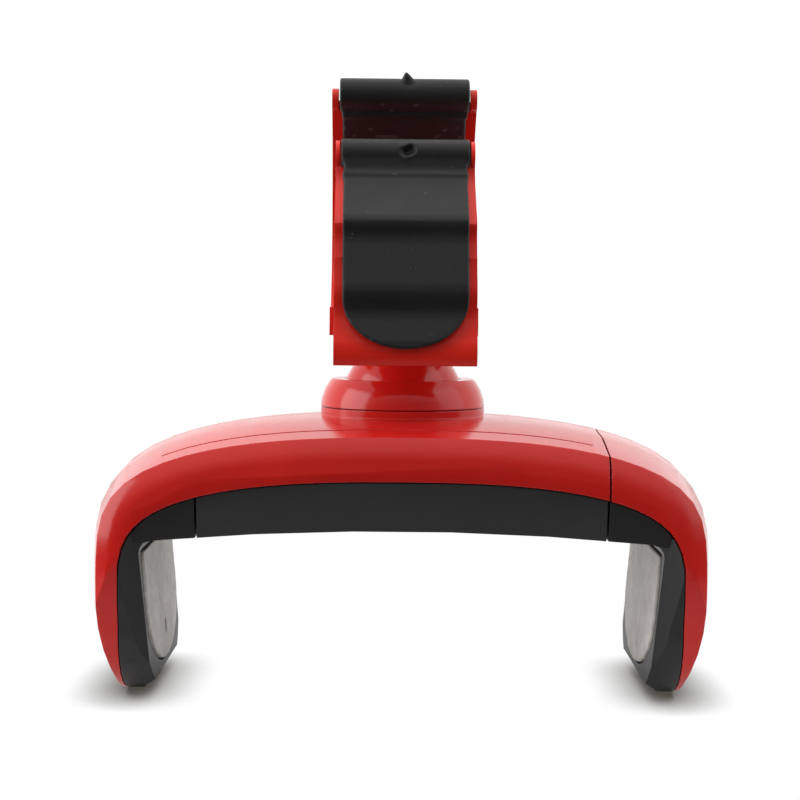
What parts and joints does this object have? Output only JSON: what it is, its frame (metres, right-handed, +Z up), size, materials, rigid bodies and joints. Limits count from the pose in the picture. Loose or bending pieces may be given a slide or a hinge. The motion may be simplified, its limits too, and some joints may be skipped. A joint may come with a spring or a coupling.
{
  "type": "steering wheel phone holder",
  "caption": "Spring-loaded phone cradle with a sliding arm, carried on a ball joint by a spring clip for a steering wheel rim.",
  "frame": {"origin": "on the ground midway between the two arm tips that the cradle stands on, which is the centre of the bounding box's bottom", "axes": "+Z up, away from the phone side towards the clip; +X across the arms towards the sliding arm; +Y along the phone, away from the lever side of the clip"},
  "size_m": [0.0916, 0.0458, 0.0921],
  "materials": {
    "red_plastic": "glossy moulded ABS",
    "black_plastic": "satin moulded ABS",
    "black_rubber": "soft moulded rubber",
    "grey_rubber": "mottled soft rubber",
    "white_acetal": "low-friction acetal",
    "spring_steel": "drawn spring wire",
    "screw_steel": "zinc plated"
  },
  "bodies": {
    "cradle": {"top_shell": "red_plastic", "left_arm_liner": "black_plastic", "center_plate": "black_plastic", "left_pad": "grey_rubber", "plate_screw_1": "screw_steel", "plate_screw_2": "screw_steel", "plate_screw_3": "screw_steel", "plate_screw_4": "screw_steel", "left_arm_screw_front": "screw_steel", "left_arm_screw_rear": "screw_steel", "return_spring_front": "spring_steel", "return_spring_rear": "spring_steel", "cup_spring": "spring_steel"},
    "right_arm": {"right_arm_shell": "red_plastic", "right_arm_liner": "black_plastic", "right_pad": "grey_rubber", "slider_plate": "black_plastic", "right_arm_screw_front": "screw_steel", "right_arm_screw_rear": "screw_steel"},
    "collar": {"socket_collar": "red_plastic"},
    "cup": {"ball_cup": "white_acetal"},
    "ball": {"ball_stem": "red_plastic"},
    "clip": {"rear_jaw": "red_plastic", "rear_boot": "black_rubber", "stem_screw": "screw_steel", "pivot_pin": "screw_steel", "torsion_spring": "spring_steel"},
    "lever": {"front_jaw": "red_plastic", "front_boot": "black_rubber"}
  },
  "joints": [
    {"name": "arm_slide", "type": "slide", "parent": "cradle", "child": "right_arm", "axis": [1, 0, 0], "range_m": [0, 0.02], "stiffness_N_per_m": 120, "springref_m": -0.008, "deforming": ["return_spring_front", "return_spring_rear"]},
    {"name": "collar_turn", "type": "hinge", "parent": "cradle", "child": "collar", "pos_m": [0, 0, 0.0431], "axis": [0, 0, 1], "range_deg": [0, 90]},
    {"name": "ball_turn", "type": "hinge", "parent": "cradle", "child": "cup", "pos_m": [0, 0, 0.0431], "axis": [0, 0, 1], "range_deg": [-180, 180]},
    {"name": "ball_tilt", "type": "hinge", "parent": "cup", "child": "ball", "pos_m": [0, 0, 0.0431], "axis": [1, 0, 0], "range_deg": [-15, 15]},
    {"name": "clip_turn", "type": "hinge", "parent": "ball", "child": "clip", "pos_m": [0, 0, 0.0431], "axis": [0, 0, 1], "range_deg": [-180, 180]},
    {"name": "jaw_open", "type": "hinge", "parent": "clip", "child": "lever", "pos_m": [0.00019, -0.011, 0.0585], "axis": [0.9998, 0.0175, 0], "range_deg": [0, 45], "stiffness_Nm_per_rad": 0.05, "deforming": ["torsion_spring"]}
  ]
}
